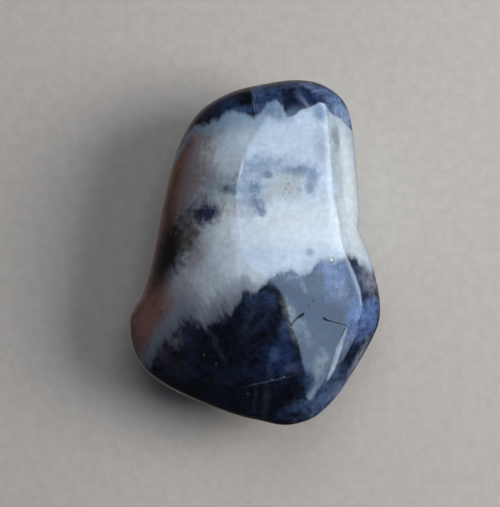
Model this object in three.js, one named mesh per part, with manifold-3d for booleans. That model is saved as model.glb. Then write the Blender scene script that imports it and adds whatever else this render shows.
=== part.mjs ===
// A tumbled sodalite pebble, one solid piece of blue and white stone.
// Millimetres, +Z up, +Y along the pebble's length. It lies on a small flat spot at z = 0,
// with the origin under the middle of its box.
//
// The form is a field that is negative inside the stone. It starts as a rounded pillow over a
// plan outline. Worn faces, each slightly domed, then cut it, and each cut meets what was there
// before in a rounded edge. The surface is found along rays from a point inside.
import * as THREE from "three";
import { mergeVertices } from "three/addons/utils/BufferGeometryUtils.js";
import Module from "manifold-3d";

// Driving dimensions
const GIRTH_HEIGHT = 8.2; // height of the widest section, and of the point that rays start from
const PILLOW_TOP = 12.5; // how far the uncut pillow rises above the girth
const PILLOW_BOTTOM = 8.4; // and how far it falls below it, a little past the flat spot
const PILLOW_POWER = 2.6; // 2 is an ellipse, higher is boxier
const MEETING_BLEND = 0.9; // rounding where the right flank meets the rest, in mm of field
const NOTCH_BLEND = 0.3; // rounding of the hollow corner between the flank's two parts
const RAY_SPLITS = 20; // the icosahedron's edges are split this many times
const RAY_SPREAD = new THREE.Vector3(14, 19, 9); // stretches the rays towards the long ends
const LONGEST_RAY = 30;
const HALVINGS = 40;

// The plan outline at the girth, anticlockwise, as [x, y]
const OUTLINE = [
  [16.6, -6.2],
  [16.0, -2.4],
  [14.8, 1.2],
  [14.5, 5.6],
  [14.2, 10.5],
  [13.4, 15.6],
  [10.4, 19.2],
  [7.2, 21.0],
  [1.0, 20.65],
  [-3.1, 19.6],
  [-7.0, 17.1],
  [-9.4, 13.3],
  [-11.0, 8.0],
  [-12.0, 3.2],
  [-12.9, -1.2],
  [-14.2, -5.3],
  [-16.9, -9.8],
  [-15.6, -13.5],
  [-11.75, -16.1],
  [-6.0, -18.65],
  [0.4, -20.6],
  [4.7, -21.3],
  [8.5, -19.6],
  [11.85, -15.15],
  [14.6, -10.6],
];

// A worn face looks towards azimuth (0 is +X, 90 is +Y) and elevation, in degrees. reach is its
// distance from the inside point, dome the radius it bulges with, blend its edge's rounding.
const TOP_FACES = {
  main: { azimuth: -4, elevation: 78, reach: 8.35, dome: 160, blend: 1.2 },
  left: { azimuth: 160, elevation: 80, reach: 9.9, dome: 100, blend: 1.2 },
  lowerLeft: { azimuth: 256, elevation: 77, reach: 8.85, dome: 130, blend: 1.6 },
  leaf: { azimuth: -18, elevation: 70.5, reach: 8.78, dome: 150, blend: 0.7 },
  leafStrip: { azimuth: -22, elevation: 57, reach: 11.03, dome: 400, blend: 0.1 },
  leftShoulder: { azimuth: 172, elevation: 45, reach: 11.6, dome: 100, blend: 3 },
  lobeShoulder: { azimuth: 228, elevation: 48, reach: 16.6, dome: 90, blend: 3 },
  tailBevel: { azimuth: -23.5, elevation: 35.5, reach: 14.53, dome: 130, blend: 0.4 },
};
const UNDER_FACES = {
  right: { azimuth: 10, elevation: -42, reach: 12.6, dome: 120, blend: 2 },
  left: { azimuth: 186, elevation: -40, reach: 14.2, dome: 100, blend: 2 },
  head: { azimuth: 74, elevation: -42, reach: 17.4, dome: 100, blend: 2 },
  tail: { azimuth: 292, elevation: -40, reach: 17.8, dome: 80, blend: 2 },
  lobe: { azimuth: 222, elevation: -38, reach: 17.4, dome: 80, blend: 2 },
};
// The right flank has an upper and a lower part, which meet in a hollow corner
const UPPER_FLANK = {
  bevel: { azimuth: 2, elevation: 36, reach: 11.7, dome: 200 },
  side: { azimuth: 4, elevation: 2, reach: 13.25, dome: 1200, blend: 1.5 },
  lip: { azimuth: -17.5, elevation: 0, reach: 11.05, dome: 400, blend: 0.3 },
};
const LOWER_FLANK = {
  bevel: { azimuth: 12.7, elevation: 39.5, reach: 11.68, dome: 85 },
  side: { azimuth: 35, elevation: 0, reach: 12.42, dome: 33, blend: 1 },
};
// Hollows are balls pressed into the surface
const HOLLOWS = {
  waist: { centre: new THREE.Vector3(-24.5, 1, 17.5), radius: 13.4, blend: 2.5 },
};

const INSIDE = new THREE.Vector3(0, 0, GIRTH_HEIGHT);

// The larger of two fields, rounded where they differ by less than blend
function roundedMax(a, b, blend) {
  const near = Math.max(blend - Math.abs(a - b), 0);
  return Math.max(a, b) + (near * near) / (4 * blend);
}

function roundedMin(a, b, blend) {
  return -roundedMax(-a, -b, blend);
}

// The outline as distance from the middle against angle, with a slope at each point
function polarOutline(points) {
  const turn = 2 * Math.PI;
  const knots = points.map(([x, y]) => ({ angle: Math.atan2(y, x), reach: Math.hypot(x, y) }));
  for (let i = 1; i < knots.length; i++) {
    while (knots[i].angle < knots[i - 1].angle) knots[i].angle += turn;
  }
  const count = knots.length;
  const wrapped = (i) => {
    const knot = knots[(i + count) % count];
    return { angle: knot.angle + turn * Math.floor(i / count), reach: knot.reach };
  };
  knots.forEach((knot, i) => {
    const [before, after] = [wrapped(i - 1), wrapped(i + 1)];
    knot.slope = (after.reach - before.reach) / (after.angle - before.angle);
  });
  return (angle) => {
    const along = THREE.MathUtils.euclideanModulo(angle - knots[0].angle, turn) + knots[0].angle;
    let i = count - 1;
    while (knots[i].angle > along) i--;
    const [from, to] = [knots[i], wrapped(i + 1)];
    const toSlope = knots[(i + 1) % count].slope;
    const gap = to.angle - from.angle;
    const u = (along - from.angle) / gap;
    return (
      (2 * u ** 3 - 3 * u ** 2 + 1) * from.reach +
      (u ** 3 - 2 * u ** 2 + u) * gap * from.slope +
      (3 * u ** 2 - 2 * u ** 3) * to.reach +
      (u ** 3 - u ** 2) * gap * toSlope
    );
  };
}

const outlineReach = polarOutline(OUTLINE);

// How far a point stands out of the pillow, measured along its ray
function pillowField(point) {
  const height = point.z - GIRTH_HEIGHT;
  const across = Math.hypot(point.x, point.y) / outlineReach(Math.atan2(point.y, point.x));
  const up = Math.abs(height) / (height > 0 ? PILLOW_TOP : PILLOW_BOTTOM);
  const share = (across ** PILLOW_POWER + up ** PILLOW_POWER) ** (1 / PILLOW_POWER);
  return point.distanceTo(INSIDE) * (1 - 1 / share);
}

function ballOf(face) {
  const elevation = THREE.MathUtils.degToRad(face.elevation);
  const azimuth = THREE.MathUtils.degToRad(face.azimuth);
  const outward = new THREE.Vector3(
    Math.cos(azimuth) * Math.cos(elevation),
    Math.sin(azimuth) * Math.cos(elevation),
    Math.sin(elevation),
  );
  return { ...face, centre: outward.multiplyScalar(face.reach - face.dome).add(INSIDE) };
}

const ballsOf = (faces) => Object.values(faces).map(ballOf);
const [topBalls, underBalls] = [ballsOf(TOP_FACES), ballsOf(UNDER_FACES)];
const [upperFlankBalls, lowerFlankBalls] = [ballsOf(UPPER_FLANK), ballsOf(LOWER_FLANK)];

const ballField = (point, ball) => point.distanceTo(ball.centre) - ball.dome;

function flankField(point, [first, ...others]) {
  return others.reduce(
    (field, ball) => roundedMax(field, ballField(point, ball), ball.blend),
    ballField(point, first),
  );
}

// Negative inside the stone
function stoneField(point) {
  let field = pillowField(point);
  for (const ball of [...topBalls, ...underBalls]) {
    field = roundedMax(field, ballField(point, ball), ball.blend);
  }
  const flank = roundedMin(
    flankField(point, upperFlankBalls),
    flankField(point, lowerFlankBalls),
    NOTCH_BLEND,
  );
  field = roundedMax(field, flank, MEETING_BLEND);
  for (const { centre, radius, blend } of Object.values(HOLLOWS)) {
    field = roundedMax(field, radius - point.distanceTo(centre), blend);
  }
  return field;
}

// The point where a ray from the inside leaves the stone
function surfacePoint(direction) {
  const point = new THREE.Vector3();
  let [near, far] = [0, LONGEST_RAY];
  for (let i = 0; i < HALVINGS; i++) {
    const middle = (near + far) / 2;
    point.copy(direction).multiplyScalar(middle).add(INSIDE);
    if (stoneField(point) < 0) near = middle;
    else far = middle;
  }
  return point;
}

function wornStone() {
  const rays = new THREE.IcosahedronGeometry(1, RAY_SPLITS);
  rays.deleteAttribute("normal");
  rays.deleteAttribute("uv");
  const stone = mergeVertices(rays);
  const places = stone.getAttribute("position");
  const direction = new THREE.Vector3();
  for (let i = 0; i < places.count; i++) {
    direction.fromBufferAttribute(places, i).multiply(RAY_SPREAD).normalize();
    places.setXYZ(i, ...surfacePoint(direction).toArray());
  }
  return stone;
}

// Cutting with manifold-3d

const wasm = await Module();
wasm.setup();

function solidOf(geometry) {
  const bare = geometry.clone();
  bare.deleteAttribute("normal");
  bare.deleteAttribute("uv");
  const merged = mergeVertices(bare);
  return new wasm.Manifold(
    new wasm.Mesh({
      numProp: 3,
      vertProperties: new Float32Array(merged.getAttribute("position").array),
      triVerts: new Uint32Array(merged.index.array),
    }),
  );
}

function geometryOf(solid) {
  const { vertProperties, triVerts } = solid.getMesh();
  const geometry = new THREE.BufferGeometry();
  geometry.setAttribute("position", new THREE.BufferAttribute(vertProperties, 3));
  geometry.setIndex(new THREE.BufferAttribute(triVerts, 1));
  geometry.computeVertexNormals();
  return geometry;
}

// The resting spot is everything below z = 0 taken off flat
function withFlatSpot(stone) {
  const below = new THREE.BoxGeometry(2 * LONGEST_RAY, 2 * LONGEST_RAY, LONGEST_RAY);
  below.translate(0, 0, -LONGEST_RAY / 2);
  return geometryOf(solidOf(stone).subtract(solidOf(below)));
}

// Moves the middle of the box over the origin
function centred(geometry) {
  geometry.computeBoundingBox();
  const middle = geometry.boundingBox.getCenter(new THREE.Vector3());
  return geometry.translate(-middle.x, -middle.y, 0);
}

const polishedSodalite = new THREE.MeshStandardMaterial({
  color: new THREE.Color(0.42, 0.48, 0.58),
  roughness: 0.12,
  metalness: 0,
});

const pebble = new THREE.Mesh(centred(withFlatSpot(wornStone())), polishedSodalite);
pebble.name = "sodalite_pebble";

const part = new THREE.Group();
part.add(pebble);

export default part;
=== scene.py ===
"""A tumbled sodalite pebble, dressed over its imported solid.

The pebble is a fine mesh of the same worn form as the solid, with the polish's faint waves and
the pit and hairline cracks as real hollows. Its bands, smudges and veins are one procedural
material in millimetres of stone. It lies on a pale floor, seen straight from above, and its polish
mirrors a window.
"""
import math

import bmesh
import bpy
import numpy as np
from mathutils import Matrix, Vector


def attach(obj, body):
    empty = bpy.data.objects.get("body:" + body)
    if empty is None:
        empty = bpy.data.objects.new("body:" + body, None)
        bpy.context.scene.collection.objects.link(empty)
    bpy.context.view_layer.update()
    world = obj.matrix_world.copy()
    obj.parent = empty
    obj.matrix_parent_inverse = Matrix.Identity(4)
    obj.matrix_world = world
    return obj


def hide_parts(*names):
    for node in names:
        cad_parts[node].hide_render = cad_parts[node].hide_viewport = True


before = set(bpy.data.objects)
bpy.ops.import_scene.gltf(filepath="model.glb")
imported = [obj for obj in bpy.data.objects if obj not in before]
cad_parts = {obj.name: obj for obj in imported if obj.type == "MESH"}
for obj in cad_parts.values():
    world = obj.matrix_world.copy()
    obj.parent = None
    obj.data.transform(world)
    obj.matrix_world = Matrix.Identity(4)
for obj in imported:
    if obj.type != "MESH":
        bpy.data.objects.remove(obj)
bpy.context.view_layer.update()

NODE = "sodalite_pebble"
MM = 0.001

# The worn form, in millimetres of the uncentred stone, as in the solid
GIRTH_HEIGHT = 8.2
PILLOW_TOP = 12.5
PILLOW_BOTTOM = 8.4
PILLOW_POWER = 2.6
LEAST_SHARE = 1e-6  # keeps the pillow's field finite at the inside point
MEETING_BLEND = 0.9
NOTCH_BLEND = 0.3
FLAT_SPOT_BLEND = 0.15
LONGEST_RAY = 30
HALVINGS = 34  # steps in the search for the surface
OUTLINE = np.array([
    (16.6, -6.2), (16.0, -2.4), (14.8, 1.2), (14.5, 5.6), (14.2, 10.5), (13.4, 15.6),
    (10.4, 19.2), (7.2, 21.0), (1.0, 20.65), (-3.1, 19.6), (-7.0, 17.1), (-9.4, 13.3),
    (-11.0, 8.0), (-12.0, 3.2), (-12.9, -1.2), (-14.2, -5.3), (-16.9, -9.8), (-15.6, -13.5),
    (-11.75, -16.1), (-6.0, -18.65), (0.4, -20.6), (4.7, -21.3), (8.5, -19.6), (11.85, -15.15),
    (14.6, -10.6),
])
# Each face is azimuth and elevation in degrees, reach, dome radius and edge blend
FACES = {
    "main": (-4, 78, 8.35, 160, 1.2),
    "left": (160, 80, 9.9, 100, 1.2),
    "lower_left": (256, 77, 8.85, 130, 1.6),
    "leaf": (-18, 70.5, 8.78, 150, 0.7),
    "leaf_strip": (-22, 57, 11.03, 400, 0.1),
    "left_shoulder": (172, 45, 11.6, 100, 3),
    "lobe_shoulder": (228, 48, 16.6, 90, 3),
    "tail_bevel": (-23.5, 35.5, 14.53, 130, 0.4),
    "under_right": (10, -42, 12.6, 120, 2),
    "under_left": (186, -40, 14.2, 100, 2),
    "under_head": (74, -42, 17.4, 100, 2),
    "under_tail": (292, -40, 17.8, 80, 2),
    "under_lobe": (222, -38, 17.4, 80, 2),
}
# The right flank has an upper and a lower part, which meet in a hollow corner
UPPER_FLANK = [(2, 36, 11.7, 200, 0), (4, 2, 13.25, 1200, 1.5), (-17.5, 0, 11.05, 400, 0.3)]
LOWER_FLANK = [(12.7, 39.5, 11.68, 85, 0), (35, 0, 12.42, 33, 1)]
# The waist at the left is a ball pressed into the stone
WAIST_CENTRE = np.array((-24.5, 1, 17.5))
WAIST_RADIUS = 13.4
WAIST_BLEND = 2.5
INSIDE = np.array((0, 0, GIRTH_HEIGHT))

# The camera looks straight down on the stone, here in millimetres of the uncentred stone
EYE = np.array((-0.617, -0.123, 248))
LENS = 138.04
FILM_WIDTH = 36
PICTURE_SIZE = np.array((500, 507))
PICTURE_MIDDLE = PICTURE_SIZE / 2
EYE_TO_PICTURE = LENS / FILM_WIDTH * PICTURE_SIZE[1]  # in picture points
CLIP_START, CLIP_END = 0.01, 10  # in metres
FIRST_GUESS_OF_HEIGHT = 16.0
SIGHTINGS = 6  # steps from that guess to where the camera's ray meets the stone

# The fine mesh
SPLITS = 3  # new points on each edge of the solid
REFINED_SPLITS = 3  # and again on the edges beside a crack or pit
REFINED_MARGIN = 0.35  # in mm
MERGE_DISTANCE = 1e-7  # in metres
CENTRINGS = 3  # steps in the search for the solid's middle
WAVES = 26
WAVE_HEIGHT = 0.002  # in mm, as the wave lengths are
WAVE_LENGTHS = (1.8, 6.0)
WAVE_PHASES = (0, 6.28)
WAVE_SEED = 7


def rounded_max(a, b, blend):
    near = np.maximum(blend - np.abs(a - b), 0)
    return np.maximum(a, b) + near ** 2 / (4 * blend)


def rounded_min(a, b, blend):
    return -rounded_max(-a, -b, blend)


def outline_reach(angle):
    """Distance of the plan outline from the middle, by a Hermite curve over the angle."""
    knots = np.unwrap(np.arctan2(OUTLINE[:, 1], OUTLINE[:, 0]))
    reaches = np.hypot(OUTLINE[:, 0], OUTLINE[:, 1])
    turn = 2 * np.pi
    angles = np.concatenate([knots[-2:] - turn, knots, knots[:2] + turn])
    around = np.concatenate([reaches[-2:], reaches, reaches[:2]])
    slopes = np.zeros_like(around)
    slopes[1:-1] = (around[2:] - around[:-2]) / (angles[2:] - angles[:-2])
    along = (angle - knots[0]) % turn + knots[0]
    i = np.clip(np.searchsorted(angles, along, side="right") - 1, 1, len(angles) - 3)
    gap = angles[i + 1] - angles[i]
    u = (along - angles[i]) / gap
    return (
        (2 * u ** 3 - 3 * u ** 2 + 1) * around[i]
        + (u ** 3 - 2 * u ** 2 + u) * gap * slopes[i]
        + (3 * u ** 2 - 2 * u ** 3) * around[i + 1]
        + (u ** 3 - u ** 2) * gap * slopes[i + 1]
    )


def outward(azimuth, elevation):
    a, e = math.radians(azimuth), math.radians(elevation)
    return np.array((math.cos(a) * math.cos(e), math.sin(a) * math.cos(e), math.sin(e)))


def face_field(points, face):
    azimuth, elevation, reach, dome, _ = face
    centre = INSIDE + outward(azimuth, elevation) * (reach - dome)
    return np.linalg.norm(points - centre, axis=-1) - dome


def flank_field(points, faces):
    field = face_field(points, faces[0])
    for face in faces[1:]:
        field = rounded_max(field, face_field(points, face), face[-1])
    return field


def pillow_field(points):
    x, y, height = points[..., 0], points[..., 1], points[..., 2] - GIRTH_HEIGHT
    across = np.hypot(x, y) / outline_reach(np.arctan2(y, x))
    up = np.abs(height) / np.where(height > 0, PILLOW_TOP, PILLOW_BOTTOM)
    share = (across ** PILLOW_POWER + up ** PILLOW_POWER) ** (1 / PILLOW_POWER)
    return np.linalg.norm(points - INSIDE, axis=-1) * (1 - 1 / np.maximum(share, LEAST_SHARE))


def stone_field(points):
    """Negative inside the stone."""
    field = pillow_field(points)
    for face in FACES.values():
        field = rounded_max(field, face_field(points, face), face[-1])
    upper, lower = flank_field(points, UPPER_FLANK), flank_field(points, LOWER_FLANK)
    flank = rounded_min(upper, lower, NOTCH_BLEND)
    field = rounded_max(field, flank, MEETING_BLEND)
    waist = WAIST_RADIUS - np.linalg.norm(points - WAIST_CENTRE, axis=-1)
    field = rounded_max(field, waist, WAIST_BLEND)
    return rounded_max(field, -points[..., 2], FLAT_SPOT_BLEND)


def surface_points(directions):
    """Where rays from the inside point leave the stone."""
    near = np.zeros(len(directions))
    far = np.full(len(directions), float(LONGEST_RAY))
    for _ in range(HALVINGS):
        middle = (near + far) / 2
        inside = stone_field(INSIDE + directions * middle[:, None]) < 0
        near = np.where(inside, middle, near)
        far = np.where(inside, far, middle)
    return INSIDE + directions * near[:, None]


def top_of(plan):
    """Height of the upper surface over points of the plan."""
    low = np.full(len(plan), GIRTH_HEIGHT)
    high = low + PILLOW_TOP
    for _ in range(HALVINGS):
        middle = (low + high) / 2
        inside = stone_field(np.column_stack((plan, middle))) < 0
        low = np.where(inside, middle, low)
        high = np.where(inside, high, middle)
    return low


def seen_at(picture_points):
    """The places on the stone that the camera sees at points of its picture, and mm per point."""
    off_axis = (np.array(picture_points) - PICTURE_MIDDLE) * (1, -1)
    height = np.full(len(off_axis), FIRST_GUESS_OF_HEIGHT)
    for _ in range(SIGHTINGS):
        scale = (EYE[2] - height) / EYE_TO_PICTURE
        plan = EYE[:2] + off_axis * scale[:, None]
        height = top_of(plan)
    return np.column_stack((plan, height)), scale


# A crack or fleck is a path of places in the plan, with the half width at each, and a depth
CRACKS = {
    "short": ([(4.24, -8.88, 0.02), (4.66, -8.28, 0.04), (5.02, -7.91, 0.07), (5.4, -7.7, 0.17),
               (5.75, -7.45, 0.10)], 0.14),
    "long": ([(8.3, -8.0, 0.10), (8.55, -8.2, 0.10), (9.2, -8.4, 0.04), (10.0, -8.63, 0.03),
              (11.4, -9.04, 0.02)], 0.12),
    "nick": ([(6.4, -6.5, 0.03), (6.5, -6.45, 0.04)], 0.06),
    "fleck": ([(6.9, -5.85, 0.04), (7.0, -5.8, 0.04)], 0.06),
}
# A pit is a place in the plan, a half width and a depth
PITS = {"glinting": (9.3, -0.95, 0.24, 0.12)}
PIT_HALF_LENGTH = 0.01  # as a path, a pit is this short
WALL_WIDTH = 0.12  # the width over which a hollow's side falls


def distance_to_path(points, path):
    """Distance in the plan to a path of (x, y, half width), less the half width there."""
    best = np.full(len(points), np.inf)
    for (x0, y0, w0), (x1, y1, w1) in zip(path, path[1:]):
        start, step = np.array((x0, y0)), np.array((x1 - x0, y1 - y0))
        share = np.clip((points[:, :2] - start) @ step / (step @ step), 0, 1)
        away = np.linalg.norm(points[:, :2] - start - share[:, None] * step, axis=1)
        best = np.minimum(best, away - (w0 + (w1 - w0) * share))
    return np.where(points[:, 2] > GIRTH_HEIGHT, best, np.inf)


def hollows():
    """Each crack and pit as a path, a depth and how dark it is: cracks are dark, pits clean."""
    for path, depth in CRACKS.values():
        yield path, depth, 1.0
    for x, y, half_width, depth in PITS.values():
        ends = (x - PIT_HALF_LENGTH, x + PIT_HALF_LENGTH)
        yield [(end, y, half_width) for end in ends], depth, 0.0


def sunk(points):
    """How deep each point lies in a crack or pit, in mm, and how dark it is there, 0 to 1."""
    depth, dark = np.zeros(len(points)), np.zeros(len(points))
    for path, floor, darkness in hollows():
        side = np.clip(0.5 - distance_to_path(points, path) / WALL_WIDTH, 0, 1)
        side = side * side * (3 - 2 * side)
        depth = np.maximum(depth, floor * side)
        dark = np.maximum(dark, darkness * side)
    return depth, dark


def waves(points):
    """The faint unevenness that tumbling leaves in the polish."""
    rng = np.random.default_rng(WAVE_SEED)
    rise = np.zeros(len(points))
    for _ in range(WAVES):
        along = rng.normal(size=3)
        along /= np.linalg.norm(along)
        length = rng.uniform(*WAVE_LENGTHS)
        phase = rng.uniform(*WAVE_PHASES)
        wave = np.sin(2 * np.pi * (points @ along) / length + phase)
        rise += length / WAVE_LENGTHS[1] * wave
    return WAVE_HEIGHT * rise


def refine(mesh, near_hollows, centre):
    """Splits the solid's triangles, or only those beside a crack or pit."""
    work = bmesh.new()
    work.from_mesh(mesh)
    bmesh.ops.remove_doubles(work, verts=work.verts, dist=MERGE_DISTANCE)
    edges = work.edges[:]
    if near_hollows:
        places = np.array([v.co[:] for v in work.verts]) / MM + centre
        close = np.zeros(len(places), bool)
        for path, *_ in hollows():
            close |= distance_to_path(places, path) < REFINED_MARGIN
        edges = [e for e in work.edges if close[e.verts[0].index] or close[e.verts[1].index]]
    cuts = REFINED_SPLITS if near_hollows else SPLITS
    bmesh.ops.subdivide_edges(work, edges=edges, cuts=cuts, use_grid_fill=True)
    bmesh.ops.triangulate(work, faces=[f for f in work.faces if len(f.verts) > 3])
    work.to_mesh(mesh)
    work.free()


def places_of(mesh):
    """The vertices' places in mm."""
    flat = np.empty(len(mesh.vertices) * 3)
    mesh.vertices.foreach_get("co", flat)
    return flat.reshape(-1, 3) / MM


def place(mesh, points):
    """Moves the vertices to places in mm."""
    mesh.vertices.foreach_set("co", (points * MM).ravel())
    mesh.update()


def onto_stone(points):
    """Points slid along rays from the inside onto the worn form, and the rays' directions."""
    directions = points - INSIDE
    directions /= np.linalg.norm(directions, axis=1)[:, None]
    return surface_points(directions), directions


def make_pebble():
    """The solid's triangles, split finely and laid onto the worn form."""
    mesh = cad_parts[NODE].data.copy()
    mesh.name = "polished_pebble"
    mesh.materials.clear()
    # the solid is centred over the origin, and middle is where that is in the form's own frame
    solid = places_of(mesh)
    rough, _ = onto_stone(solid)
    for _ in range(CENTRINGS):
        middle = (rough.min(0) + rough.max(0)) / 2 * (1, 1, 0)
        rough, _ = onto_stone(solid + middle)
    refine(mesh, False, middle)
    points, _ = onto_stone(places_of(mesh) + middle)
    place(mesh, points - middle)
    refine(mesh, True, middle)
    points, directions = onto_stone(places_of(mesh) + middle)
    depth, dark = sunk(points)
    place(mesh, points + directions * (waves(points) - depth)[:, None] - middle)
    mesh.attributes.new("hollow", "FLOAT", "POINT").data.foreach_set("value", dark)
    mesh.polygons.foreach_set("use_smooth", np.ones(len(mesh.polygons), bool))
    pebble = bpy.data.objects.new("polished_pebble", mesh)
    bpy.context.collection.objects.link(pebble)
    return pebble, middle


class Paint:
    """Adds and links shader nodes, so that a material reads as nested calls."""

    def __init__(self, tree):
        self.nodes = tree.nodes
        self.links = tree.links
        self.nodes.clear()

    def add(self, kind, inputs, **settings):
        node = self.nodes.new(kind)
        for name, value in settings.items():
            setattr(node, name, value)
        for key, value in inputs.items():
            if isinstance(value, bpy.types.NodeSocket):
                self.links.new(value, node.inputs[key])
            else:
                node.inputs[key].default_value = value
        return node

    def math(self, operation, a, b):
        return self.add("ShaderNodeMath", {0: a, 1: b}, operation=operation).outputs[0]

    def plus(self, a, b):
        return self.math("ADD", a, b)

    def minus(self, a, b):
        return self.math("SUBTRACT", a, b)

    def times(self, a, b):
        return self.math("MULTIPLY", a, b)

    def larger(self, a, b):
        return self.math("MAXIMUM", a, b)

    def between(self, share, low, high):
        """low where share is 0, high where it is 1."""
        return self.plus(self.times(share, high - low), low)

    def vector(self, operation, a, b):
        return self.add("ShaderNodeVectorMath", {0: a, 1: b}, operation=operation).outputs[0]

    def scaled(self, a, factor):
        node = self.add("ShaderNodeVectorMath", {0: a, "Scale": factor}, operation="SCALE")
        return node.outputs[0]

    def nearness(self, at):
        """1 at the origin, falling to 0 at a distance of 1."""
        node = self.add("ShaderNodeTexGradient", {"Vector": at}, gradient_type="SPHERICAL")
        return node.outputs["Fac"]

    def parts(self, a):
        return self.add("ShaderNodeSeparateXYZ", {0: a}).outputs

    def joined(self, x, y, z):
        return self.add("ShaderNodeCombineXYZ", {0: x, 1: y, 2: z}).outputs[0]

    def fade(self, value, start, stop):
        """0 at start, 1 at stop, smooth between."""
        node = self.add("ShaderNodeMapRange", {"Value": value, 1: start, 2: stop},
                        interpolation_type="SMOOTHSTEP")
        return node.outputs[0]

    def mix(self, share, a, b):
        a, b = ((*c, 1) if isinstance(c, tuple) else c for c in (a, b))
        return self.add("ShaderNodeMix", {0: share, 6: a, 7: b}, data_type="RGBA").outputs[2]

    def noise(self, at, kind):
        """Cloudy noise of one of the kinds in NOISES; outputs Fac and Color."""
        size, detail, roughness, distortion = NOISES[kind]
        return self.add("ShaderNodeTexNoise", {
            "Vector": at, "Scale": 1 / size, "Detail": detail,
            "Roughness": roughness, "Distortion": distortion}).outputs

    def curve(self, value, span, points, height):
        """A smooth curve through points, over x in span and y in height."""
        (x0, x1), (y0, y1) = span, height
        node = self.add("ShaderNodeFloatCurve", {
            "Value": self.add("ShaderNodeMapRange", {"Value": value, 1: x0, 2: x1}).outputs[0]})
        drawn = node.mapping.curves[0]
        places = [((x - x0) / (x1 - x0), (y - y0) / (y1 - y0)) for x, y in points]
        for end, at in zip(drawn.points, (places[0], places[-1])):
            end.location = at
        for at in places[1:-1]:
            drawn.points.new(*at)
        node.mapping.extend = "HORIZONTAL"
        node.mapping.update()
        return self.between(node.outputs[0], y0, y1)

    def stretched(self, at, centre, size, turn):
        """at, measured from centre, turned and divided by size."""
        return self.add("ShaderNodeMapping", {
            "Vector": at, "Location": centre, "Rotation": (0, 0, math.radians(turn)),
            "Scale": size}, vector_type="TEXTURE").outputs[0]


def new_material(name):
    material = bpy.data.materials.new(name)
    material.use_nodes = True
    return material, Paint(material.node_tree)


# Colours of the stone
PALETTE = {
    # white stone
    "white": (0.53, 0.62, 0.70),
    "dull_white": (0.43, 0.50, 0.57),
    "bright_white": (0.66, 0.72, 0.77),
    "warm_white": (0.60, 0.63, 0.61),
    "mid_white": (0.45, 0.52, 0.56),
    # painted reflection: bluish white where the window's haze on the polish fades out
    "painted_haze_white": (0.66, 0.76, 0.88),
    "white_blue": (0.50, 0.62, 0.74),
    "grey_white": (0.36, 0.41, 0.47),
    "pale_blue": (0.26, 0.38, 0.53),
    "grey": (0.23, 0.28, 0.33),
    "yellowish": (0.36, 0.36, 0.30),
    "brown": (0.13, 0.11, 0.08),
    # blue stone that shows through the white
    "deep_pale_blue": (0.055, 0.11, 0.23),
    "deep_grey_blue": (0.17, 0.23, 0.29),
    "hidden_blue": (0.04, 0.09, 0.18),
    "leaf_mist": (0.20, 0.26, 0.33),
    # smudges, and the left flank, whose browns and pinks are painted shade with a warm painted
    # reflection
    "blue_grey": (0.17, 0.23, 0.30),
    "smudge": (0.055, 0.08, 0.125),
    "smudge_blue": (0.13, 0.185, 0.27),
    "spot_navy": (0.03, 0.036, 0.08),
    "spot_halo": (0.18, 0.18, 0.23),
    "flank_shade_brown": (0.20, 0.092, 0.072),
    "flank_shade_pink": (0.225, 0.155, 0.155),
    "lobe_shade_brown": (0.35, 0.185, 0.16),
    "lobe_shade_pink": (0.30, 0.215, 0.215),
    "flank_violet": (0.075, 0.06, 0.085),
    "flank_shade_dusk": (0.10, 0.07, 0.065),
    # dark stone in the waist, deepened by painted shade
    "waist_stone_and_shade": (0.010, 0.007, 0.008),
    # milky stone over the tail's edge
    "veil": (0.19, 0.22, 0.27),
    "deep_veil": (0.055, 0.065, 0.10),
    # blue stone of the cap
    "cap_navy": (0.026, 0.044, 0.105),
    "cap_dusk": (0.024, 0.027, 0.042),
    "cap_blue": (0.04, 0.078, 0.18),
    "cap_light": (0.095, 0.15, 0.28),
    "cap_deep": (0.016, 0.034, 0.10),
    "cap_edge": (0.06, 0.085, 0.17),
    "cap_pale": (0.14, 0.18, 0.34),
    "sky_dusk": (0.085, 0.135, 0.25),
    "sky_blue": (0.18, 0.26, 0.42),
    "sky_pale": (0.27, 0.35, 0.50),
    # blue-black stone of the tail
    "black": (0.004, 0.0055, 0.010),
    "navy": (0.008, 0.014, 0.038),
    "deep_blue": (0.012, 0.026, 0.08),
    "violet": (0.022, 0.020, 0.034),
    "tooth_violet": (0.015, 0.018, 0.045),
    "tail_violet": (0.10, 0.095, 0.125),
    "mottle": (0.013, 0.020, 0.050),
    "blotch": (0.034, 0.056, 0.125),
    "wisp": (0.022, 0.030, 0.050),
    "patch_blue": (0.013, 0.027, 0.082),
    "cloud": (0.055, 0.085, 0.18),
    "purple": (0.044, 0.052, 0.12),
    # the clear leaf-shaped facet and the rim beside it
    "leaf_blue": (0.055, 0.080, 0.120),
    "leaf_dark": (0.003, 0.004, 0.005),
    "leaf_light": (0.130, 0.155, 0.175),
    "leaf_pale": (0.150, 0.165, 0.160),
    "leaf_olive": (0.022, 0.024, 0.014),
    "leaf_round": (0.032, 0.046, 0.044),
    "leaf_sky": (0.085, 0.115, 0.20),
    "strip_blue": (0.09, 0.13, 0.22),
    "periwinkle": (0.090, 0.138, 0.26),
    "light_periwinkle": (0.15, 0.21, 0.38),
    "pale_periwinkle": (0.15, 0.19, 0.27),
    "band_blue": (0.004, 0.018, 0.065),
    "sill_blue": (0.050, 0.110, 0.28),
    "gap_blue": (0.020, 0.048, 0.105),
    "rim_navy": (0.055, 0.080, 0.140),
    "rim_grey": (0.20, 0.21, 0.26),
    "rim_blue": (0.10, 0.165, 0.35),
    "tail_slate": (0.062, 0.098, 0.185),
    "pale_slate": (0.13, 0.17, 0.25),
    # lines and specks, the thread white doubling as the pit's painted glint
    "thread_and_glint_white": (0.80, 0.86, 0.92),
    "dim_thread": (0.20, 0.25, 0.34),
    "violet_thread": (0.14, 0.17, 0.28),
    "speck": (0.40, 0.44, 0.50),
    "hollow": (0.004, 0.005, 0.007),
}

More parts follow.
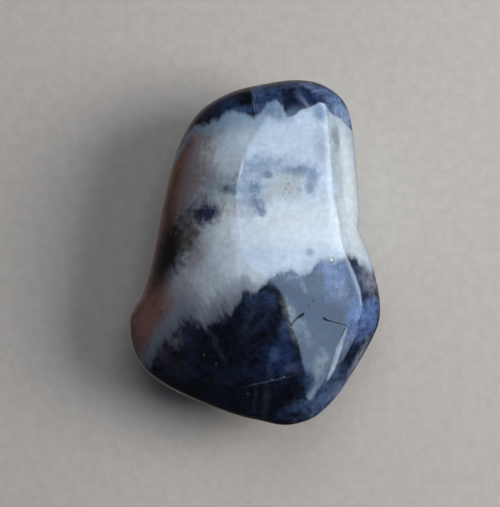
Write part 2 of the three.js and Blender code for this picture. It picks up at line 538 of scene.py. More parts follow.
# Where white stone meets the blue cap and the blue-black tail, as places in the plan
CAP_EDGE = [
    (-15, 10), (-9.5, 12.5), (-7.9, 14.8), (-5.9, 15.5), (-4.2, 16.3), (-2.2, 16.7), (0.5, 16.4),
    (1.0, 17.3), (1.8, 17.8), (2.7, 17.9), (3.4, 17.1), (3.8, 16.35), (5.5, 17.0), (7.2, 17.65),
    (8.3, 17.95), (8.9, 17.0), (10.6, 15.9), (11.3, 15.4), (15, 13.6),
]
TAIL_EDGE = [
    (-15, -17), (-12.9, -14.6), (-11.7, -12.1), (-9.5, -9.8), (-8.5, -8.5), (-7.3, -8.4),
    (-6.2, -9.2), (-4.9, -8.3), (-3.3, -7.6), (-2.3, -6.5), (-1.8, -5.7), (-1.3, -4.7),
    (-0.3, -4.8), (0.9, -4.1), (2.2, -2.9), (4.4, -2.5), (5.5, -2.7), (6.7, -2.3), (7.2, -1.5),
    (8.2, -1.0), (9.7, -1.2), (10.6, -0.8), (11.9, -0.7), (12.8, -1.4), (13.7, -2.1), (15, -2.4),
]
ACROSS = (-18, 18)  # the curves' range of x
ALONG = (-25, 25)  # and of y

# Ranges over which something sets in, as start and end in mm
FLANK_SHADE_TOP = (15.3, 12.7)  # the painted shade, with a warm painted reflection, of the left flank, going down
FLANK_SHADE_SIDE = (-3.5, -7.5)  # and to the left
FLANK_SHADE_FOOT = (4.0, 8.5)  # and coming up from the underside
CLEAN_EDGE = (3.2, 4.4)  # the cap's edge loses its teeth, going right
SOFT_EDGE = (1.0, -4.0)  # the tail's edge blurs, going left
RIM = (-2.0, -0.2)  # the pale rim of the cap, as distance past its edge

# How the cap's edge changes, each as its value where the edge is toothed and where it is clean
CAP_TEETH = (1.0, 0.25)
RIM_SHARE = (0.7, 0.3)
CAP_BLUR = (0.4, 0.12)  # in mm
# How the tail's edge changes, each as its value where the edge is crisp and where it is soft
VEIL_START = (-1.0, -5.6)  # starts and ends are mm past the edge
VEIL_END = (0.0, -1.7)
VEIL_SHARE = (0.68, 0.98)
SHADE_START = (-0.3, -2.5)
TAIL_START = (-0.35, -0.85)
TAIL_END = (0.3, 0.6)
# and these are the same along the whole edge
SHADE_END = 0.3
SHADE_SHARE = 0.75

# Kinds of noise, each as the size of its lumps in mm, its octaves, roughness and distortion
NOISES = {
    "clouds": (2.6, 6, 0.62, 0.6),
    "blotches": (2.2, 5, 0.6, 0.4),
    "wisps": (1.3, 6, 0.7, 1.2),
    "coarse": (3.0, 3, 0.5, 0.0),
    "fine": (0.9, 6, 0.68, 0.0),
    "upright": (0.45, 4, 0.6, 0.0),
    "white_grain": (0.7, 6, 0.6, 0.0),
    "dark_grain": (0.8, 7, 0.72, 0.0),
    "teeth": (0.8, 6, 0.68, 0.0),
    "fibres": (1.0, 5, 0.6, 0.0),
    "paper": (1.4, 6, 0.7, 0.0),
}
NOISE_MIDDLE = 0.5
# Where in a noise something sets in
CLOUDS = (0.36, 0.64)
BLOTCHES = (0.42, 0.64)
WISPS = (0.55, 0.75)
GRAIN = (0.28, 0.72)
# The darkest and lightest grains, as shares of the colour
WHITE_GRAINS = (0.90, 1.10)
DARK_GRAINS = (0.45, 1.55)
# for the mottled painted shade of the left flank
FLANK_SHADE_CLOUDS = (0.72, 1.25)
FLANK_SHADE_GRAINS = (0.75, 1.25)

WISPS_MOVED = (31, 7, 3)  # so that they don't follow the blotches
WISP_SHARE = 0.7
# how fully the painted shade covers the left flank
FLANK_SHADE_SHARE = 0.97
FLANK_SHADE_TOP_STRAYS = 2.0  # in mm for each unit of raggedness
FLANK_SHADE_FOOT_STRAYS = 9.0
FINE_SHARE = 0.55  # raggedness is this much fine noise
UPRIGHT_SHARE = 0.45  # and this much upright noise
UPRIGHT_DRAWN = 0.5  # places shortened to this share along the stone and up draw out the noise
TEETH_DRAWN = 0.45
TEETH = 2.2  # height of the teeth in both edges, in mm
FIBRES = 3.0  # and of the fibres in the tail's
FIBRE_SIZE = (0.45, 2.2, 2.2)  # a fibre's width, length and height, in mm
FIBRE_TURN = 28  # degrees
BEND = 0.8  # how far the marks' outlines stray, in mm
BANDS_TURN_AT = GIRTH_HEIGHT + 0.5  # below here the bands run on at a slant
BANDS_RUN = (0.35, -0.45)  # by this much for each mm of depth
IOR = 1.483
GLOSS = (0.05, 0.11)  # roughness of the polish, from grain to grain
HOLLOW_DULLNESS = 0.75  # more roughness in a crack
HOLLOW_SHARE = 0.9
SUBSURFACE = {
    "Subsurface Weight": 0.35,
    "Subsurface Radius": (1.0, 1.1, 1.25),
    "Subsurface Scale": 0.9 * MM,
}

# Marks on the upper side, placed in the camera's picture, in its points: colour, place,
# half length and half width, then the turn in degrees, the softness of the edge, its raggedness,
# and how much of the mark's colour shows
BAND_MARKS = [
    ("pale_blue", (238, 121), (36, 10), 3, 0.9, 0.8, 0.7),
    ("bright_white", (212, 152), (15, 12), 0, 0.9, 0.8, 0.85),
    ("white_blue", (232, 143), (18, 12), 0, 0.9, 0.8, 0.7),
    ("grey_white", (207, 135), (14, 7), 25, 0.9, 0.8, 0.7),
    ("mid_white", (297, 137), (23, 13), -5, 0.6, 0.6, 0.8),
    ("grey", (322, 146), (7, 18), 0, 0.8, 0.8, 0.7),
    ("grey_white", (283, 160), (44, 9), 0, 0.9, 0.9, 0.5),
    ("grey", (217, 184), (20, 13), 0, 0.9, 0.8, 0.8),
    ("warm_white", (288, 222), (52, 20), 3, 0.9, 0.8, 0.8),
    ("bright_white", (308, 236), (34, 12), 5, 0.9, 0.8, 0.7),
    ("bright_white", (228, 216), (20, 11), 25, 0.9, 0.8, 0.8),
    ("grey_white", (197, 246), (13, 10), 50, 0.9, 0.8, 0.5),
    # painted reflection: bluish white where the window's haze on the polish fades out
    ("painted_haze_white", (238, 246), (30, 5), 95, 0.9, 0.5, 0.75),
    ("painted_haze_white", (243, 272), (17, 7), -5, 0.9, 0.6, 0.7),
    # painted shade with a warm painted reflection on the left flank and lobe
    ("flank_shade_pink", (190, 183), (52, 14), 71, 0.9, 1.2, 0.8),
    ("flank_shade_pink", (195, 262), (17, 9), 60, 0.9, 0.7, 0.6),
    ("lobe_shade_pink", (172, 312), (36, 15), 60, 0.9, 1, 0.8),
    ("grey_white", (195, 283), (34, 14), 25, 0.9, 0.8, 0.6),
    ("bright_white", (350, 190), (64, 9), 97, 0.7, 0.5, 0.9),
    ("grey", (336, 138), (12, 4), 95, 0.6, 0.8, 0.9),
    ("hidden_blue", (320, 111), (6, 9), 10, 0.7, 0.6, 0.85),
    ("deep_pale_blue", (267, 109), (16, 6), -5, 0.8, 1, 0.95),
    ("deep_grey_blue", (284, 116), (9, 6), 0, 0.8, 1, 0.9),
    ("hidden_blue", (308, 106), (8, 4), 25, 0.8, 0.6, 0.5),
    ("leaf_mist", (289, 278), (9, 4), 0, 0.9, 1, 0.3),
    ("grey", (338, 172), (22, 5), 97, 0.8, 0.8, 0.4),
    # smudges, and the spot beside the waist
    ("spot_halo", (199, 202), (10, 7), 30, 0.9, 0.9, 0.7),
    ("grey", (205, 213), (20, 14), 0, 0.9, 0.9, 0.6),
    ("spot_navy", (206, 213.5), (14, 9), 3, 0.7, 0.9, 1),
    ("smudge_blue", (229, 189.5), (8, 4.5), -15, 0.9, 1.3, 0.9),
    ("smudge", (225, 188), (3, 3), 0, 0.9, 1.3, 0.8),
    ("yellowish", (231, 208), (8, 8), 0, 0.9, 0.8, 0.35),
    ("blue_grey", (266, 165), (18, 8), 5, 0.9, 1.2, 0.9),
    ("blue_grey", (252, 190), (15, 22), -15, 0.9, 1.2, 0.9),
    ("smudge", (255.5, 188), (5, 6), 0, 0.8, 1.3, 1),
    ("smudge", (255, 200), (6, 6), -10, 0.8, 1.3, 0.85),
    ("smudge", (261.5, 208), (4, 6), 0, 0.8, 1.3, 0.9),
    ("grey", (245, 200), (5, 6), 0, 0.9, 1.2, 0.6),
    ("smudge", (268, 175), (4.5, 3.5), 0, 0.8, 1.3, 0.9),
    ("blue_grey", (298, 171), (14, 7), 0, 0.9, 1.2, 0.7),
    ("smudge", (287, 169.5), (4, 4), 0, 0.8, 1.3, 0.45),
    ("smudge", (298, 170), (7, 5.5), 0, 0.8, 1.3, 0.8),
    ("smudge_blue", (312, 175), (7, 8), 0, 0.9, 1.2, 0.85),
    ("smudge_blue", (311, 187), (5, 7), 0, 0.9, 1.2, 1),
    ("yellowish", (288, 187), (17, 12), 0, 0.8, 0.9, 0.8),
    ("yellowish", (268, 194), (7, 11), 0, 0.9, 0.9, 0.4),
    ("yellowish", (245, 207), (8, 6), 0, 0.9, 0.9, 0.35),
    ("grey", (299.5, 191), (2.5, 1.8), 0, 0.8, 0.8, 0.6),
    ("grey", (310, 252), (4, 4), 0, 0.5, 0.5, 0.8),
]
FLANK_MARKS = [
    # dark stone in the waist deepened by painted shade, and painted shade with a warm painted
    # reflection beside it
    ("waist_stone_and_shade", (168, 252), (42, 17), 55, 0.7, 0.7, 0.98),
    ("flank_shade_dusk", (189, 237), (14, 8), 60, 0.8, 0.8, 0.7),
    ("flank_violet", (152, 360), (20, 13), -60, 0.9, 0.6, 0.7),
    # painted shade with a warm painted reflection on the lobe
    ("lobe_shade_brown", (146, 322), (26, 12), 65, 0.9, 1.2, 0.65),
]
DARK_MARKS = [
    # the cap
    ("cap_blue", (268, 97), (18, 13), 0, 0.4, 0.8, 0.9),
    ("cap_light", (262, 108), (10, 6), 0, 0.8, 1, 0.6),
    ("cap_light", (258, 90), (5, 7), 0, 0.7, 1, 0.7),
    ("cap_deep", (268, 100), (7, 5), 0, 0.8, 1, 0.8),
    ("black", (243, 99), (10, 11), 0, 0.3, 0.4, 1),
    ("cap_blue", (240, 110), (14, 4), 0, 0.7, 0.9, 0.9),
    ("cap_navy", (222, 106), (16, 9), 25, 0.7, 0.8, 0.95),
    ("cap_dusk", (205, 114), (11, 7), 35, 0.7, 0.7, 0.9),
    ("navy", (291, 103), (7, 13), 10, 0.4, 0.6, 0.95),
    ("cap_edge", (290, 85), (16, 4), 5, 0.7, 0.9, 0.8),
    ("sky_dusk", (302, 97), (7, 5), -40, 0.8, 0.9, 0.8),
    ("deep_blue", (312, 96), (13, 8), -12, 0.5, 0.8, 0.9),
    ("cap_pale", (311, 86), (13, 4), -20, 0.7, 1, 0.9),
    ("sky_dusk", (332, 98), (14, 11), -30, 0.7, 0.8, 0.9),
    ("sky_blue", (342, 115), (13, 14), 20, 0.7, 0.8, 0.95),
    ("sky_pale", (345, 119), (5, 7), 20, 0.8, 0.8, 0.7),
    # the tail
    ("flank_violet", (160, 356), (9, 9), 0, 0.8, 0.8, 0.6),
    ("violet", (175, 368), (15, 10), -35, 0.8, 0.8, 0.7),
    ("tooth_violet", (188, 332), (11, 15), 0, 0.6, 0.9, 0.8),
    ("tail_violet", (175, 342), (8, 6), 40, 0.9, 1.2, 0.8),
    ("black", (222, 350), (26, 23), 0, 0.7, 0.9, 0.9),
    ("wisp", (208, 331), (12, 2), -45, 0.9, 1, 0.7),
    ("wisp", (218, 348), (14, 2.2), -65, 0.9, 1, 0.7),
    ("mottle", (259, 303), (18, 14), 0, 0.5, 1.1, 0.85),
    ("blotch", (251, 299), (6, 6), 0, 0.8, 1.3, 0.9),
    ("blotch", (271, 299), (6, 7), 0, 0.8, 1.3, 0.9),
    ("blotch", (262, 293), (6, 3), 0, 0.8, 1.3, 0.6),
    ("navy", (264, 310), (6, 6), 0, 0.8, 1, 0.7),
    ("wisp", (250, 316), (20, 3.5), 72, 0.9, 1.3, 0.8),
    ("wisp", (262, 322), (14, 2.5), 50, 0.9, 1.2, 0.6),
    ("black", (269, 339), (8, 8), 0, 0.7, 1, 0.9),
    ("blotch", (286, 331), (7, 15), -5, 0.7, 1.3, 0.8),
    ("patch_blue", (279, 357), (16, 17), 0, 0.5, 0.9, 0.95),
    ("cloud", (275, 355), (5, 6), 0, 0.9, 1, 0.8),
    ("cloud", (270, 371), (7, 2), -70, 0.9, 1, 0.4),
    ("purple", (292, 368), (9, 5), 20, 0.7, 1.3, 0.9),
    ("black", (256, 398), (46, 11), -5, 0.5, 0.7, 0.95),
    ("wisp", (266, 399), (16, 3), 86, 0.9, 1.2, 0.7),
    ("wisp", (255, 399), (14, 1.5), 88, 0.9, 1.2, 0.5),
    ("blotch", (303, 408), (19, 8), 20, 0.7, 1.3, 0.9),
    # the clear leaf-shaped facet
    ("leaf_blue", (288, 280), (15, 8), -10, 0.8, 1.3, 0.9),
    ("leaf_dark", (278, 284), (4, 5), 0, 0.7, 1.3, 0.6),
    ("leaf_light", (289, 277), (6, 3), 0, 0.9, 1.3, 0.7),
    ("leaf_dark", (292, 291), (15, 7), -30, 0.7, 1, 0.95),
    ("leaf_light", (303, 285), (9, 2.5), -62, 0.9, 1, 0.75),
    ("leaf_dark", (304, 304), (6, 13), -40, 0.8, 1, 0.9),
    ("leaf_olive", (314, 336), (14, 13), 20, 0.9, 1.3, 0.8),
    ("leaf_pale", (290, 315), (5, 15), 20, 0.9, 0.8, 1),
    ("leaf_light", (298, 323), (9, 5), -30, 0.9, 1.2, 0.9),
    ("leaf_light", (307, 337), (4, 8), 20, 0.9, 1.2, 0.45),
    ("leaf_light", (294, 334), (3, 9), 15, 0.9, 1, 0.5),
    ("leaf_pale", (318, 367), (5, 12), -8, 0.9, 1, 0.8),
    ("leaf_pale", (324, 357), (5, 7), -10, 0.9, 1.3, 0.7),
    ("periwinkle", (333, 278), (18, 19), 0, 0.6, 1, 0.9),
    ("light_periwinkle", (325, 268), (9, 6), 0, 0.9, 1.2, 0.7),
    ("leaf_round", (316, 283), (7.5, 13), -5, 0.5, 0.6, 0.9),
    ("pale_periwinkle", (342, 291), (6, 8), 0, 0.9, 1.2, 0.8),
    ("leaf_sky", (343, 303), (10, 6), 0, 0.9, 1, 0.8),
    ("leaf_sky", (349, 317), (5, 8), 0, 0.9, 1, 0.7),
    ("strip_blue", (345, 346), (20, 5), 73, 0.7, 0.7, 0.9),
    ("strip_blue", (337, 367), (8, 4), 65, 0.8, 0.7, 0.9),
    ("leaf_dark", (333, 314), (15, 12), 0, 0.6, 0.7, 0.9),
    ("band_blue", (356, 294), (25, 6), 105, 0.7, 0.8, 1),
    ("sill_blue", (354, 319), (20, 7), 82, 0.7, 0.8, 0.9),
    ("gap_blue", (308, 381), (5, 14), 10, 0.7, 0.8, 0.9),
    # the rim beside it
    ("rim_navy", (362, 282), (22, 10), 107, 0.6, 1.2, 0.9),
    ("rim_grey", (371, 279), (16, 8), 100, 0.8, 1.2, 0.85),
    ("navy", (364, 296), (6, 5), 0, 0.8, 1, 0.6),
    ("rim_blue", (369, 318), (19, 11), 76, 0.6, 0.8, 0.95),
    ("navy", (350, 355), (26, 7), 61, 0.5, 0.8, 0.95),
    ("rim_blue", (360, 335), (7, 5), 60, 0.8, 1.2, 0.6),
    ("rim_grey", (359.5, 358), (24, 4), 62, 0.7, 0.8, 0.85),
    ("tail_slate", (326, 397), (28, 13), 42, 0.8, 1.3, 0.9),
    ("pale_slate", (339, 388), (16, 3), 52, 0.9, 1.2, 0.7),
    ("black", (296, 415), (10, 3), -5, 0.6, 0.8, 0.8),
]
FINE_MARKS = [
    ("thread_and_glint_white", (241, 170), (11, 0.8), 76, 0.7, 0.3, 0.45),
    ("dim_thread", (253.5, 94.5), (6, 0.8), -65, 0.6, 0.3, 0.5),
    ("dim_thread", (254, 106), (7, 0.8), 98, 0.6, 0.3, 0.4),
    ("violet_thread", (304, 101), (7, 1.6), -52, 0.9, 0.8, 0.8),
    ("dim_thread", (306, 86), (7, 0.8), -28, 0.6, 0.5, 0.6),
    ("dim_thread", (270, 381), (18, 0.8), 13, 0.8, 0.9, 0.22),
    ("speck", (272, 379.5), (0.9, 0.7), 0, 0.6, 0.3, 0.5),
    ("speck", (284, 377), (0.9, 0.7), 0, 0.6, 0.3, 0.5),
    ("speck", (216, 364), (0.7, 1), 0, 0.6, 0.3, 0.18),
    ("speck", (204, 355), (0.7, 1.2), 0, 0.6, 0.3, 0.18),
    ("speck", (248, 394), (0.8, 0.7), 0, 0.6, 0.3, 0.25),
    ("brown", (286.4, 179.2), (1.2, 0.9), 0, 0.6, 0.6, 0.7),
    ("brown", (288.5, 184), (1.3, 1.6), 0, 0.6, 0.9, 0.6),
    ("brown", (285.5, 189), (1.5, 1.2), 0, 0.6, 0.9, 0.55),
    ("brown", (289, 192.5), (1.2, 1.2), 0, 0.6, 0.9, 0.5),
    ("brown", (282.5, 195), (1.1, 1.1), 0, 0.6, 0.9, 0.45),
    ("brown", (286, 199), (1, 1), 0, 0.6, 0.9, 0.4),
    ("brown", (303, 182.5), (0.9, 0.8), 0, 0.6, 0.9, 0.4),
    ("brown", (284, 183), (0.8, 0.8), 0, 0.6, 0.9, 0.4),
    ("brown", (291, 187.5), (0.8, 0.8), 0, 0.6, 0.9, 0.4),
    ("brown", (283.5, 192), (0.8, 0.8), 0, 0.6, 0.9, 0.4),
    ("brown", (287.5, 196.5), (0.8, 0.8), 0, 0.6, 0.9, 0.4),
    ("brown", (331, 261), (3, 2.4), -15, 0.6, 0.5, 0.6),
    # painted glint: white in the middle of the glinting pit
    ("thread_and_glint_white", (331.8, 259.8), (1.8, 1.4), -15, 0.5, 0.2, 0.9),
]
MARK_DEPTH = 8.0  # how deep a mark goes into the stone, in mm
REACH = 3.0  # a mark is followed out to this many times its size
RAGGEDNESS = 3  # how far a fully ragged edge strays, in sizes of the mark


def marked(paint, colour, marks, at, ragged):
    """Lays each mark over a colour, in order."""
    places, scales = seen_at([mark[1] for mark in marks])
    for mark, centre, scale in zip(marks, places, scales):
        name, _, (half_length, half_width), turn, softness, raggedness, share = mark
        size = (REACH * half_length * scale, REACH * half_width * scale, REACH * MARK_DEPTH)
        near = paint.nearness(paint.stretched(at, centre, size, turn))
        strays = paint.times(ragged, RAGGEDNESS * raggedness)
        inward = paint.plus(paint.times(near, REACH), strays)
        mask = paint.times(paint.fade(inward, REACH - 1 - softness, REACH - 1 + softness), share)
        colour = paint.mix(mask, colour, PALETTE[name])
    return colour


def white_stone(paint, place):
    """Milky stone with soft clouds, before its marks."""
    clouds = paint.fade(paint.noise(place, "clouds")["Fac"], *CLOUDS)
    return paint.mix(clouds, PALETTE["dull_white"], PALETTE["white"])


def dark_stone(paint, place):
    """Blue-black stone with blotches and bluer wisps, before its marks."""
    blotches = paint.fade(paint.noise(place, "blotches")["Fac"], *BLOTCHES)
    moved = paint.vector("ADD", place, WISPS_MOVED)
    wisps = paint.fade(paint.noise(moved, "wisps")["Fac"], *WISPS)
    dark = paint.mix(blotches, PALETTE["black"], PALETTE["navy"])
    return paint.mix(paint.times(wisps, WISP_SHARE), dark, PALETTE["deep_blue"])


def grained(paint, colour, noise, darkest, lightest):
    """Makes a colour darker and lighter from grain to grain."""
    return paint.scaled(colour, paint.between(paint.fade(noise, *GRAIN), darkest, lightest))


class Stone:
    """Where a shaded point lies in the stone, in mm, and the noises that break up its colours."""

    def __init__(self, paint, middle):
        here = paint.add("ShaderNodeTexCoord", {}).outputs["Object"]
        place = paint.vector("ADD", paint.scaled(here, 1 / MM), tuple(middle))
        depth = paint.larger(paint.minus(BANDS_TURN_AT, paint.parts(place)[2]), 0.0)
        run = paint.joined(*(paint.times(depth, share) for share in BANDS_RUN), 0.0)
        self.place = paint.vector("ADD", place, run)
        coarse = paint.noise(self.place, "coarse")
        stray = paint.vector("SUBTRACT", coarse["Color"], (NOISE_MIDDLE,) * 3)
        self.bent = paint.vector("ADD", self.place, paint.scaled(stray, BEND))
        self.coarse = coarse["Fac"]
        self.fine = paint.noise(self.place, "fine")["Fac"]
        upright = paint.noise(self.drawn_out(paint, UPRIGHT_DRAWN), "upright")["Fac"]
        ragged = paint.times(self.fine, FINE_SHARE)
        ragged = paint.plus(ragged, paint.times(upright, UPRIGHT_SHARE))
        self.ragged = paint.minus(ragged, NOISE_MIDDLE)

    def drawn_out(self, paint, share):
        """The place, for noise with lumps that are longer along the stone and up."""
        return paint.vector("MULTIPLY", self.place, (1.0, share, share))


def white_part(paint, stone):
    """Milky stone with its marks, and mottled painted shade with a warm painted reflection on the
    left flank.
    """
    colour = marked(paint, white_stone(paint, stone.place), BAND_MARKS, stone.bent, stone.ragged)
    grain = paint.noise(stone.place, "white_grain")["Fac"]
    colour = grained(paint, colour, grain, *WHITE_GRAINS)
    # Painted shade with a warm painted reflection: the left flank turns a mottled brown below its
    # top, fading out towards the underside
    x, _, height = paint.parts(stone.bent)
    top = paint.plus(height, paint.times(stone.ragged, FLANK_SHADE_TOP_STRAYS))
    foot = paint.plus(height, paint.times(stone.ragged, FLANK_SHADE_FOOT_STRAYS))
    flank_shade_share = paint.times(paint.fade(top, *FLANK_SHADE_TOP), paint.fade(x, *FLANK_SHADE_SIDE))
    flank_shade_share = paint.times(flank_shade_share, paint.fade(foot, *FLANK_SHADE_FOOT))
    brown = grained(paint, PALETTE["flank_shade_brown"], stone.coarse, *FLANK_SHADE_CLOUDS)
    brown = grained(paint, brown, stone.fine, *FLANK_SHADE_GRAINS)
    colour = paint.mix(paint.times(flank_shade_share, FLANK_SHADE_SHARE), colour, brown)
    return marked(paint, colour, FLANK_MARKS, stone.bent, stone.ragged)


def dark_part(paint, stone):
    """Blue-black stone with its marks."""
    dark = marked(paint, dark_stone(paint, stone.place), DARK_MARKS, stone.bent, stone.ragged)
    return grained(paint, dark, paint.noise(stone.place, "dark_grain")["Fac"], *DARK_GRAINS)


def past_edges(paint, stone, clean, soft):
    """How far a point is past the cap's edge and past the tail's, in mm."""
    x, y, _ = paint.parts(stone.bent)
    teeth = paint.noise(stone.drawn_out(paint, TEETH_DRAWN), "teeth")["Fac"]
    tooth = paint.times(paint.minus(teeth, NOISE_MIDDLE), TEETH)
    cap = paint.minus(y, paint.curve(x, ACROSS, CAP_EDGE, ALONG))
    cap = paint.plus(cap, paint.times(tooth, paint.between(clean, *CAP_TEETH)))
    tail = paint.plus(paint.minus(paint.curve(x, ACROSS, TAIL_EDGE, ALONG), y), tooth)
    # where the tail's edge is soft, slanting fibres comb it
    combed = paint.stretched(stone.place, (0, 0, 0), FIBRE_SIZE, FIBRE_TURN)
    fibres = paint.minus(paint.noise(combed, "fibres")["Fac"], NOISE_MIDDLE)
    return cap, paint.plus(tail, paint.times(paint.times(fibres, soft), FIBRES))


def edged(paint, colour, cap, tail, clean, soft):
    """The white turned pale blue beside the cap, and veiling the tail's soft edge."""
    rim = paint.times(paint.fade(cap, *RIM), paint.between(clean, *RIM_SHARE))
    colour = paint.mix(rim, colour, PALETTE["pale_blue"])
    veil = paint.fade(tail, paint.between(soft, *VEIL_START), paint.between(soft, *VEIL_END))
    veil = paint.times(veil, paint.between(soft, *VEIL_SHARE))
    colour = paint.mix(veil, colour, PALETTE["veil"])
    shade = paint.fade(tail, paint.between(soft, *SHADE_START), SHADE_END)
    shade = paint.times(paint.times(shade, soft), SHADE_SHARE)
    return paint.mix(shade, colour, PALETTE["deep_veil"])


def banded(paint, stone):
    """White stone between the blue cap and the blue-black tail."""
    x = paint.parts(stone.bent)[0]
    clean, soft = paint.fade(x, *CLEAN_EDGE), paint.fade(x, *SOFT_EDGE)
    cap, tail = past_edges(paint, stone, clean, soft)
    colour = edged(paint, white_part(paint, stone), cap, tail, clean, soft)
    dark = dark_part(paint, stone)
    blur = paint.between(clean, *CAP_BLUR)
    colour = paint.mix(paint.fade(cap, paint.times(blur, -1.0), blur), colour, dark)
    start, end = paint.between(soft, *TAIL_START), paint.between(soft, *TAIL_END)
    return paint.mix(paint.fade(tail, start, end), colour, dark)


def sodalite(middle):
    """Polished stone, with its cracks dull and dark."""
    material, paint = new_material("polished_sodalite")
    stone = Stone(paint, middle)
    colour = marked(paint, banded(paint, stone), FINE_MARKS, stone.place, stone.ragged)
    hollow = paint.add("ShaderNodeAttribute", {}, attribute_name="hollow").outputs["Fac"]
    colour = paint.mix(paint.times(hollow, HOLLOW_SHARE), colour, PALETTE["hollow"])
    dullness = paint.times(hollow, HOLLOW_DULLNESS)
    roughness = paint.plus(paint.between(stone.fine, *GLOSS), dullness)
    shader = paint.add("ShaderNodeBsdfPrincipled", {
        "Base Color": colour, "Roughness": roughness, "IOR": IOR, **SUBSURFACE})
    paint.add("ShaderNodeOutputMaterial", {"Surface": shader.outputs[0]})
    return material


PAPER_COLOURS = ((0.555, 0.515, 0.465), (0.62, 0.575, 0.52))
PAPER_GRAIN = (0.3, 0.7)
PAPER_ROUGHNESS = 0.9
FLOOR_HALF = 0.6  # in metres


def paper():
    """Plain pale paper with a faint grain."""
    material, paint = new_material("pale_paper")
    here = paint.scaled(paint.add("ShaderNodeTexCoord", {}).outputs["Object"], 1 / MM)
    grain = paint.fade(paint.noise(here, "paper")["Fac"], *PAPER_GRAIN)
    shader = paint.add("ShaderNodeBsdfPrincipled", {
        "Base Color": paint.mix(grain, *PAPER_COLOURS), "Roughness": PAPER_ROUGHNESS})
    paint.add("ShaderNodeOutputMaterial", {"Surface": shader.outputs[0]})
    return material


def make_floor():
    half = FLOOR_HALF
    corners = [(-half, -half, 0), (half, -half, 0), (half, half, 0), (-half, half, 0)]
    mesh = bpy.data.meshes.new("floor")
    mesh.from_pydata(corners, [], [(0, 1, 2, 3)])
    mesh.materials.append(paper())
    floor = bpy.data.objects.new("floor", mesh)
    # the polish mirrors the dark room, not the floor
    floor.visible_glossy = False
    bpy.context.collection.objects.link(floor)


# Lamps light the stone but don't show in its polish, which mirrors a window instead. Directions
# are azimuth and elevation in degrees, distances are in metres
LAMPS_AIM = Vector((0, 0, 0.015))
LAMP_DISTANCE = 0.35
# Each lamp is a direction, the side of its square, its radiance and its colour
LAMPS = {
    "key": ((5, 36), 0.20, 8.4, (1.0, 1.0, 1.0)),
    "fill": ((85, 60), 0.25, 1.9, (0.92, 0.98, 1.08)),
}
ROOM_COLOUR = (0.035, 0.035, 0.04)
FLOOR_GLOW = (0.20, 0.17, 0.16)  # only the stone's outermost rim mirrors it upwards
FLOOR_GLOW_FROM = (-0.6, -0.95)  # as the downward part of a direction
WINDOW_FACING = (-8.5, 43)
WINDOW_DISTANCE = 0.28
WINDOW_RADIANCE = 3.8
GLARE_GAP = 0.001  # the strips of glare are this much nearer
SKY_COLOUR = (0.70, 1.0, 1.5)
GLARE_COLOUR = (0.85, 1.0, 1.2)
# The window is an outline across and up its plane, in units of its distance
WINDOW = [
    (0.62, -0.10), (0.42, 0.36), (0.44, 0.53), (0.52, 0.82), (0.53, 0.97), (0.50, 1.12),
    (0.43, 1.19), (0.37, 1.22), (0.20, 1.01), (0.01, 0.92), (-0.14, 0.86), (-0.27, 0.82),
    (-0.29, 0.73), (-0.27, 0.65), (-0.24, 0.49), (-0.24, 0.39), (-0.25, 0.33), (-0.29, 0.30),
    (-0.34, 0.27), (-0.37, 0.18), (-0.41, 0.16), (-0.46, 0.15), (-0.42, 0.07), (-0.38, -0.01),
    (-0.41, -0.01), (-0.43, 0.01), (-0.52, 0.10), (-0.67, 0.24), (-0.63, 0.13), (-0.49, 0.01),
    (-0.42, -0.04), (-0.37, -0.12), (-0.30, -0.11), (-0.24, -0.11), (-0.26, -0.36), (-0.30, -0.55),
    (-0.24, -0.66), (-0.10, -0.85), (0.0, -0.95), (0.22, -1.0), (0.22, -0.60), (0.25, -0.45),
    (0.45, -0.50), (0.62, -0.45),
]
# Strips of brighter or dimmer sky along its edges, each with its radiance
GLARES = {
    "ridge": (6.0, [(0.56, -0.10), (0.42, -0.05), (0.24, -0.02), (0.10, -0.12), (0.12, -0.34),
                    (0.16, -0.42), (0.25, -0.35), (0.37, -0.42), (0.60, -0.40)]),
    "rim": (7.0, [(0.16, -0.45), (0.24, -0.45), (0.24, -0.90), (0.10, -0.90), (0.0, -0.95),
                  (0.0, -0.75), (0.09, -0.60)]),
    "leaf": (8.0, [(-0.25, -0.18), (-0.285, -0.10), (-0.32, -0.125), (-0.35, -0.13),
                   (-0.39, -0.20), (-0.48, -0.66), (-0.45, -0.68), (-0.365, -0.45),
                   (-0.31, -0.36), (-0.27, -0.24)]),
    "sill": (2.0, [(-0.28, -0.36), (-0.33, -0.44), (-0.37, -0.56), (-0.50, -0.90), (-0.56, -1.18),
                   (-0.50, -1.18), (-0.40, -0.85), (-0.28, -0.66)]),
    "tip": (5.5, [(-0.424, 0.005), (-0.421, -0.027), (-0.458, -0.001), (-0.538, 0.067),
                  (-0.625, 0.131), (-0.679, 0.24), (-0.519, 0.095)]),
}


def facing(azimuth, elevation):
    """The way out to a lamp, and the turn that points the lamp's -Z back along it."""
    out = Vector(outward(azimuth, elevation))
    return out, (-out).to_track_quat("-Z", "Y")


def hang(name, data, diffuse, glossy):
    """A lamp or card that the camera doesn't see, lighting the stone or mirrored in it."""
    lamp = bpy.data.objects.new(name, data)
    lamp.visible_camera = False
    lamp.visible_diffuse = diffuse
    lamp.visible_glossy = glossy
    bpy.context.collection.objects.link(lamp)
    return lamp


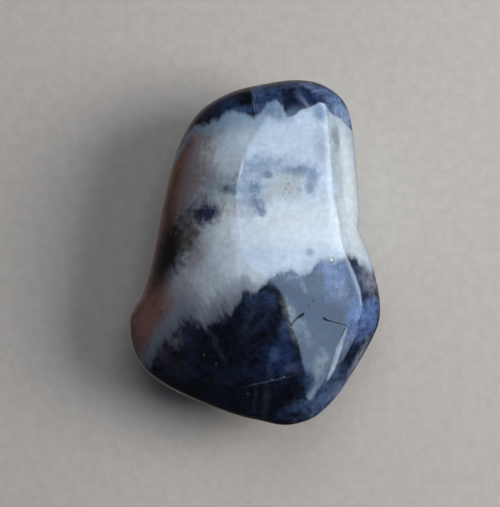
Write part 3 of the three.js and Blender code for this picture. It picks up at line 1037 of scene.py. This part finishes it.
def make_sky(name, outline, radiance, colour, nearer=0.0):
    """A glowing card that shows only as haze or glare on the polish."""
    out, turn = facing(*WINDOW_FACING)
    distance = WINDOW_DISTANCE - nearer
    mesh = bpy.data.meshes.new(name)
    corners = [turn @ Vector((x, y, 0)) * distance for x, y in outline]
    mesh.from_pydata(corners, [], [tuple(range(len(corners)))])
    material, paint = new_material(name)
    glow = paint.add("ShaderNodeEmission", {"Color": (*colour, 1), "Strength": radiance})
    paint.add("ShaderNodeOutputMaterial", {"Surface": glow.outputs[0]})
    mesh.materials.append(material)
    sky = hang(name, mesh, diffuse=False, glossy=True)
    sky.location = out * distance + LAMPS_AIM
    sky.visible_shadow = False


def make_lamp(name, towards, side, radiance, colour):
    """A soft square lamp that faces the stone."""
    light = bpy.data.lights.new(name, "AREA")
    light.shape = "RECTANGLE"
    light.size, light.size_y = side, side
    light.energy = radiance * math.pi * side * side
    light.color = colour
    lamp = hang(name, light, diffuse=True, glossy=False)
    out, turn = facing(*towards)
    lamp.rotation_mode = "QUATERNION"
    lamp.rotation_quaternion = turn
    lamp.location = out * LAMP_DISTANCE + LAMPS_AIM


def room():
    """A dark room with a faint glow from straight below."""
    world = bpy.data.worlds.new("room")
    world.use_nodes = True
    paint = Paint(world.node_tree)
    towards = paint.add("ShaderNodeTexCoord", {}).outputs["Generated"]
    below = paint.fade(paint.parts(towards)[2], *FLOOR_GLOW_FROM)
    colour = paint.mix(below, ROOM_COLOUR, FLOOR_GLOW)
    glow = paint.add("ShaderNodeBackground", {"Color": colour})
    paint.add("ShaderNodeOutputWorld", {"Surface": glow.outputs[0]})
    return world


def make_lights():
    make_sky("window", WINDOW, WINDOW_RADIANCE, SKY_COLOUR)
    for name, (radiance, outline) in GLARES.items():
        make_sky("glare_" + name, outline, radiance, GLARE_COLOUR, GLARE_GAP)
    for name, (towards, side, radiance, colour) in LAMPS.items():
        make_lamp(name, towards, side, radiance, colour)
    bpy.context.scene.world = room()


def make_camera(middle):
    """The camera straight above, where EYE says, with the stone's middle over the origin."""
    data = bpy.data.cameras.new("camera")
    data.lens = LENS
    data.sensor_width = FILM_WIDTH
    data.clip_start, data.clip_end = CLIP_START, CLIP_END
    camera = bpy.data.objects.new("camera", data)
    camera.location = (EYE - middle) * MM
    bpy.context.collection.objects.link(camera)
    bpy.context.scene.camera = camera


pebble, middle = make_pebble()
pebble.data.materials.append(sodalite(middle))
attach(pebble, "root")
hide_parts(NODE)
make_floor()
make_lights()
make_camera(middle)
bpy.context.scene.view_settings.view_transform = "Standard"
